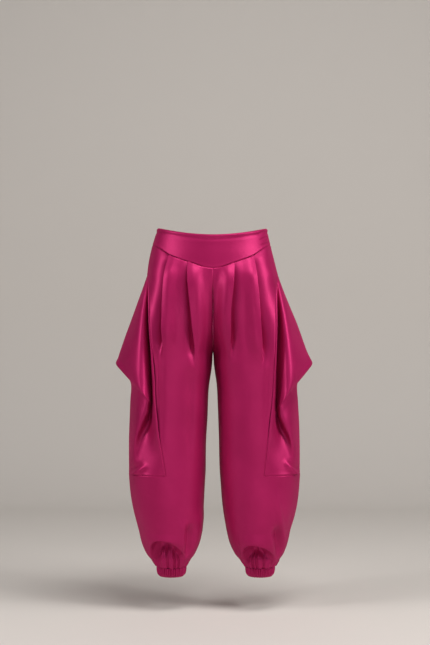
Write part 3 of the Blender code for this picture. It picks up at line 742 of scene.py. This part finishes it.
def gridNormals(points, turned):
    # Unit cross product of the steps down and across, which points out of the garment.
    down = np.gradient(points, axis=0)
    across = np.gradient(points, axis=1)
    if np.allclose(points[:, 0], points[:, -1]):
        across[:, 0] = (points[:, 1] - points[:, -2]) / 2
        across[:, -1] = across[:, 0]
    normal = np.cross(down, across) * turned
    return normal / np.maximum(np.linalg.norm(normal, axis=-1, keepdims=True), 1e-12)


def arcLengths(points):
    # Lengths down and across the cloth from its first row and column.
    down = np.zeros(points.shape[:2])
    across = np.zeros(points.shape[:2])
    down[1:] = np.cumsum(np.linalg.norm(np.diff(points, axis=0), axis=-1), axis=0)
    across[:, 1:] = np.cumsum(np.linalg.norm(np.diff(points, axis=1), axis=-1), axis=1)
    return down, across


seamShape = dict(depth=0.0009, width=0.0013, swell=0.00030, pucker=0.00010)


def seamPush(distance, along, seed):
    # At a seam the cloth dips, swells just beside it and puckers in uneven short waves.
    uneven = 0.6 + 0.4 * np.sin(along * 47 + 2 * seed)
    pucker = np.sin(along * 690 + 1.7 * np.sin(along * 130 + seed)) * uneven
    dip = seamShape["depth"] * bump(distance, seamShape["width"])
    swell = seamShape["swell"] * bump(distance - 0.0042, 0.0028)
    return swell - dip + seamShape["pucker"] * pucker * bump(distance - 0.0040, 0.0045)


def sewn(grid, turned, seed, top=None, bottom=None, first=None, last=None):
    # Adds the seams on the named edges; each is given as the share of its depth along the edge.
    down, across = arcLengths(grid)
    push = np.zeros(grid.shape[:2])
    edges = (
        (top, down, across),
        (bottom, down[-1:] - down, across),
        (first, across, down),
        (last, across[:, -1:] - across, down),
    )
    for order, (share, distance, along) in enumerate(edges):
        if share is not None:
            push = push + share * seamPush(distance, along, seed + order)
    return grid + gridNormals(grid, turned) * push[..., None]


def flatCoordinates(points):
    # Lengths across and down the cloth, used as the material's coordinates.
    down, across = arcLengths(points)
    return np.stack([across - across.mean(axis=1, keepdims=True), -down], -1)


def makeCloth(name, patches, thickness, material, node):
    # Welds the grids of one panel where their points meet, gives it flat coordinates and a thin wall
    # on its inner side.
    points = []
    faces = []
    flats = []
    start = 0
    for grid, turned in patches:
        rows, columns = grid.shape[:2]
        index = start + np.arange(rows * columns).reshape(rows, columns)
        quads = np.stack([index[:-1, :-1], index[1:, :-1], index[1:, 1:], index[:-1, 1:]], -1)
        quads = quads.reshape(-1, 4)
        faces.append(quads if turned > 0 else quads[:, ::-1])
        points.append(grid.reshape(-1, 3))
        flats.append(flatCoordinates(grid).reshape(-1, 2))
        start += rows * columns
    points = np.concatenate(points)
    faces = np.concatenate(faces)
    corners = np.concatenate(flats)[faces.ravel()]
    rounded = np.round(points / 2e-6).astype(np.int64)
    _, firsts, places = np.unique(rounded, axis=0, return_index=True, return_inverse=True)
    faces = places.ravel()[faces]
    points = points[firsts]
    mesh = bpy.data.meshes.new(name)
    mesh.vertices.add(len(points))
    mesh.vertices.foreach_set("co", points.ravel())
    mesh.loops.add(faces.size)
    mesh.loops.foreach_set("vertex_index", faces.ravel())
    mesh.polygons.add(len(faces))
    mesh.polygons.foreach_set("loop_start", np.arange(0, faces.size, 4))
    mesh.polygons.foreach_set("loop_total", np.full(len(faces), 4))
    mesh.update(calc_edges=True)
    mesh.validate()
    mesh.polygons.foreach_set("use_smooth", np.ones(len(mesh.polygons), bool))
    layer = mesh.uv_layers.new(name="flat")
    layer.data.foreach_set("uv", corners.ravel())
    mesh.materials.append(material)
    piece = bpy.data.objects.new(name, mesh)
    bpy.context.scene.collection.objects.link(piece)
    wall = piece.modifiers.new("wall", "SOLIDIFY")
    wall.thickness = thickness
    wall.offset = -1
    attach(piece, "root")
    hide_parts(node)


def addNode(tree, kind, sockets=None, **values):
    # A shader node with its properties and the fixed values of its sockets.
    made = tree.nodes.new(kind)
    for name, value in values.items():
        setattr(made, name, value)
    for name, value in (sockets or {}).items():
        made.inputs[name].default_value = value
    return made


satinLook = dict(
    dark=(0.375, 0.0095, 0.088, 1),
    light=(0.435, 0.0125, 0.106, 1),
    slowNoise=9.0,
    softNoise=38.0,
    glintNoise=420.0,
    weave=(5200.0, 1144.0, 1.0),
    roughness=(0.40, 0.48),
    roughnessTurned=0.45,
    surface={
        "Metallic": 0.40,
        "IOR": 1.35,
        "Specular IOR Level": 0.7,
        "Specular Tint": (1.0, 0.34, 0.72, 1.0),
        "Coat Weight": 0.05,
        "Coat Roughness": 0.30,
        "Coat IOR": 1.45,
    },
)


def addBump(tree, height, strength, distance, below=None):
    # A bump from a grey value, on top of the bump below it.
    made = addNode(tree, "ShaderNodeBump", {"Strength": strength, "Distance": distance})
    tree.links.new(height, made.inputs["Height"])
    if below is not None:
        tree.links.new(below, made.inputs["Normal"])
    return made.outputs["Normal"]


def satinMaterial(name, look):
    # Satin: a saturated base with a partly metallic, pink shine that widens as the cloth turns away,
    # a thin coat, and bumps for grain, long floats and soft unevenness. Slow noise shifts the colour
    # and the shine a little.
    material = bpy.data.materials.new(name)
    material.use_nodes = True
    tree = material.node_tree
    link = tree.links.new
    surface = tree.nodes["Principled BSDF"]
    for socket, value in look["surface"].items():
        surface.inputs[socket].default_value = value
    flat = addNode(tree, "ShaderNodeUVMap", uv_map="flat")
    place = addNode(tree, "ShaderNodeTexCoord")

    slow = addNode(tree, "ShaderNodeTexNoise", {"Scale": look["slowNoise"], "Detail": 3.0})
    link(place.outputs["Object"], slow.inputs["Vector"])
    colour = addNode(tree, "ShaderNodeValToRGB")
    colour.color_ramp.elements[0].position = 0.30
    colour.color_ramp.elements[0].color = look["dark"]
    colour.color_ramp.elements[1].position = 0.72
    colour.color_ramp.elements[1].color = look["light"]
    link(slow.outputs["Fac"], colour.inputs["Fac"])
    link(colour.outputs["Color"], surface.inputs["Base Color"])

    glints = addNode(tree, "ShaderNodeTexNoise", {"Scale": look["glintNoise"], "Detail": 1.0})
    link(flat.outputs["UV"], glints.inputs["Vector"])
    threads = addNode(tree, "ShaderNodeMapping", {"Scale": look["weave"]})
    link(flat.outputs["UV"], threads.inputs["Vector"])
    floats = addNode(tree, "ShaderNodeTexNoise", {"Scale": 1.0, "Detail": 2.0})
    link(threads.outputs["Vector"], floats.inputs["Vector"])
    soft = addNode(tree, "ShaderNodeTexNoise", {"Scale": look["softNoise"], "Detail": 2.0})
    link(place.outputs["Object"], soft.inputs["Vector"])
    grain = addBump(tree, glints.outputs["Fac"], 0.22, 0.0005)
    fine = addBump(tree, floats.outputs["Fac"], 0.28, 0.0002, grain)
    broad = addBump(tree, soft.outputs["Fac"], 0.18, 0.0016, fine)
    link(broad, surface.inputs["Normal"])

    lowest, highest = look["roughness"]
    shine = addNode(tree, "ShaderNodeMapRange", {"To Min": lowest, "To Max": highest})
    link(slow.outputs["Fac"], shine.inputs["Value"])
    facing = addNode(tree, "ShaderNodeLayerWeight")
    turning = addNode(tree, "ShaderNodeMapRange", {"From Min": 0.5, "To Max": look["roughnessTurned"]})
    link(facing.outputs["Facing"], turning.inputs["Value"])
    rough = addNode(tree, "ShaderNodeMath", operation="ADD")
    link(shine.outputs["Result"], rough.inputs[0])
    link(turning.outputs["Result"], rough.inputs[1])
    link(rough.outputs["Value"], surface.inputs["Roughness"])
    return material


def partShares(lengths, counts):
    # Part numbers and shares along a row of parts; the outer two have closer steps beside the seams.
    part = []
    share = []
    for index, (length, count) in enumerate(zip(lengths, counts)):
        isLast = index == len(counts) - 1
        steps = crowded(0, length, count, atStart=index == 0, atEnd=isLast) / length
        steps = steps if isLast else steps[:-1]
        share.append(steps)
        part.append(np.full(len(steps), index))
    return np.concatenate(part), np.concatenate(share)


# Fronts and backs: steps across each part of a row, how far the cloth springs out below the yoke,
# and the cut of what shows.
legPanels = {
    "front": dict(
        facing=1,
        columns=frontColumns,
        edgeDrop=frontEdgeDrop,
        lengths=(0.06, 0.02, 0.05, 0.02, 0.04),
        counts=(24, 26, 20, 26, 12),
        puff=0.0085,
        flat=(0.34, 0.95),
        area=0.220,
    ),
    "back": dict(
        facing=-1,
        columns=backColumns,
        edgeDrop=backEdgeDrop,
        lengths=(0.22,),
        counts=(64,),
        puff=0.0040,
        flat=(0.25, 0.95),
        area=0.208,
    ),
}
yokePanels = {
    "front": dict(facing=1, flat=(0.46, 0.12), area=0.029),
    "back": dict(facing=-1, flat=(0.45, 0.09), area=0.025),
}
sideSeed = {"left": 1.3, "right": 4.1}
clothThickness = 0.0007
satin = satinMaterial("fuchsiaSatin", satinLook)


def makeLegPanel(side, face, panel):
    # A front or back: the main grid, the strip above the drape and the part below the cross seam,
    # which share their points along the drape's side.
    facing = panel["facing"]
    turned = facing * sideSign(side)
    seed = sideSeed[side]
    part, share = partShares(panel["lengths"], panel["counts"])
    main = legGrid(side, panel["columns"], part, share, panel["edgeDrop"], panel["puff"])
    seamX = main[:, 0, 0].copy()
    main = main + gridNormals(main, turned) * softWaves(main, seed + facing)[..., None]
    aboveCrotch = main[:, :1, 2] > -crotchDrop
    centre = 0.8 * np.where(aboveCrotch, gridNormals(main, turned)[:, :1, 1] ** 2, 1.0)
    down = np.arange(len(main))
    besideDrape = ((down >= hipRow) & (down <= crossRow)).astype(float)[:, None]
    main = sewn(main, turned, seed + 5 * facing, top=1.0, bottom=0.5, first=centre, last=besideDrape)
    main[:, 0, 0] = np.where(aboveCrotch[:, 0], seamX, main[:, 0, 0])
    strip = sewn(upperGrid(side, facing, main[:, -1]), turned, seed, top=1.0, last=0.8)
    strip[:, 0] = main[:hipRow + 1, -1]
    low = lowerGrid(side, facing, main[:, -1])
    low = low + gridNormals(low, turned) * softWaves(low, seed + facing)[..., None]
    low = sewn(low, turned, seed + 9 * facing, top=0.6, bottom=0.5, last=0.8)
    low[:, 0] = main[crossRow:, -1]
    patches = [(grid, turned) for grid in (main, strip, low)]
    makeCloth(face + side.capitalize(), patches, clothThickness, satin,
              face + "_" + side)


def makeDrape(side):
    # The net's sheet with its creases, its unevenness and its four seams.
    turned = sideSign(side)
    grid = drapeGrid(side)
    creases = foldPush(drapeFolds[side], np.abs(grid[..., 0]), -grid[..., 2], -grid[..., 1])
    uneven = 0.6 * softWaves(grid, sideSeed[side] + 7)
    grid = grid + gridNormals(grid, turned) * (uneven + creases)[..., None]
    grid = sewn(grid, turned, sideSeed[side] + 3, top=0.6, bottom=1.0, first=1.0, last=1.0)
    makeCloth("drape" + side.capitalize(), [(grid, turned)], clothThickness, satin,
              "drape_" + side)


def makeYoke(face, panel):
    # The top edge is rolled over: a low bead with a shallow dip under it.
    facing = panel["facing"]
    grid = yokeGrid(facing)
    fromTop = arcLengths(grid)[0]
    roll = 0.0012 * bump(fromTop - 0.0045, 0.0045) - 0.0010 * bump(fromTop - 0.0130, 0.0045)
    roll = roll - 0.0015 * bump(fromTop, 0.0020)
    closing = foldPush(closingFolds, grid[..., 0], -grid[..., 2], -grid[..., 1])
    grid = grid + gridNormals(grid, facing) * (roll + closing)[..., None]
    grid = sewn(grid, facing, 2.0 + facing, bottom=1.0, first=0.8, last=0.8)
    makeCloth("yoke" + face.capitalize(), [(grid, facing)], yokeShape["thickness"], satin,
              "yoke_" + face)


for side in ("left", "right"):
    for face, panel in legPanels.items():
        makeLegPanel(side, face, panel)
    makeDrape(side)
    makeCloth("cuff" + side.capitalize(), [(cuffGrid(side), 1)], cuffShape["thickness"], satin,
              "cuff_" + side)
    print("cloth of the", side, "side done")
for face, panel in yokePanels.items():
    makeYoke(face, panel)
print("yoke done")

# Floor and backdrop: a level floor that curves up into a plain wall.
stage = dict(floor=-1.058, front=-6.0, bendAt=2.0, bend=0.9, top=7.0, side=9.0)
stagePaper = {"Base Color": (0.665, 0.635, 0.595, 1), "Roughness": 0.95}
angles = np.linspace(0, math.pi / 2, 49)
bent = stage["bend"] * np.stack([np.sin(angles), 1 - np.cos(angles)], -1)
arc = bent + [stage["bendAt"], 0.0]
wallTop = (stage["bendAt"] + stage["bend"], stage["top"])
curve = np.concatenate([[(stage["front"], 0.0)], arc, [wallTop]])
sweep = np.zeros((len(curve), 2, 3))
sweep[..., 0] = (-stage["side"], stage["side"])
sweep[..., 1] = curve[:, :1]
sweep[..., 2] = stage["floor"] + curve[:, 1:]
index = np.arange(len(curve) * 2).reshape(-1, 2)
quads = np.stack([index[:-1, 0], index[:-1, 1], index[1:, 1], index[1:, 0]], -1)
mesh = bpy.data.meshes.new("floor")
mesh.from_pydata(sweep.reshape(-1, 3).tolist(), [], quads.tolist())
mesh.polygons.foreach_set("use_smooth", np.ones(len(quads), bool))
paper = bpy.data.materials.new("paper")
paper.use_nodes = True
for socket, value in stagePaper.items():
    paper.node_tree.nodes["Principled BSDF"].inputs[socket].default_value = value
mesh.materials.append(paper)
floor = bpy.data.objects.new("floor", mesh)
bpy.context.scene.collection.objects.link(floor)


def areaLight(name, place, target, size, power, colour):
    # A rectangular light that faces its target.
    lamp = bpy.data.lights.new(name, "AREA")
    lamp.shape = "RECTANGLE"
    lamp.size, lamp.size_y = size
    lamp.energy = power
    lamp.color = colour
    made = bpy.data.objects.new(name, lamp)
    made.location = place
    made.rotation_euler = (Vector(target) - Vector(place)).to_track_quat("-Z", "Y").to_euler()
    bpy.context.scene.collection.objects.link(made)


# Light: a key from the right and a weaker one from the left, a strip on each side for the wings'
# crests, one high in front and a low broad fill for the legs and the floor.
keyColour = (1.0, 0.97, 0.96)
leftColour = (1.0, 0.97, 0.97)
frontColour = (1.0, 0.98, 0.97)
areaLight("keyLight", (2.9, -1.6, 2.0), (0, 0, -0.3), (2.0, 1.3), 70, keyColour)
areaLight("leftLight", (-2.9, -1.6, 2.0), (0, 0, -0.3), (1.8, 1.3), 43, leftColour)
areaLight("rightStrip", (2.7, -1.4, 0.5), (0.1, 0, -0.1), (0.4, 0.8), 21, keyColour)
areaLight("leftStrip", (-2.7, -1.4, 0.5), (-0.1, 0, -0.1), (0.4, 0.8), 20, leftColour)
areaLight("highLight", (0.6, -1.3, 2.6), (0.1, -0.4, -0.8), (1.4, 0.9), 56, frontColour)
areaLight("frontLight", (0.2, -4.3, -0.8), (0, 0, -0.95), (2.2, 1.0), 17, frontColour)
world = bpy.data.worlds.new("studio")
world.use_nodes = True
world.node_tree.nodes["Background"].inputs["Color"].default_value = (0.95, 0.92, 0.90, 1)
world.node_tree.nodes["Background"].inputs["Strength"].default_value = 0.04
bpy.context.scene.world = world
bpy.context.scene.view_settings.view_transform = "Standard"

# Camera: level, 0.8 m above the floor, 3.8 m in front of the middle of the trousers. Its focal
# length is 1368 pixels of the photograph, which is 645 pixels high.
camera = bpy.data.cameras.new("camera")
camera.lens = 36 * 1368 / 645
camera.dof.use_dof = False
eye = bpy.data.objects.new("camera", camera)
eye.location = (0.0056, -3.8, -0.261)
eye.rotation_euler = (math.pi / 2, 0, 0)
bpy.context.scene.collection.objects.link(eye)
bpy.context.scene.camera = eye
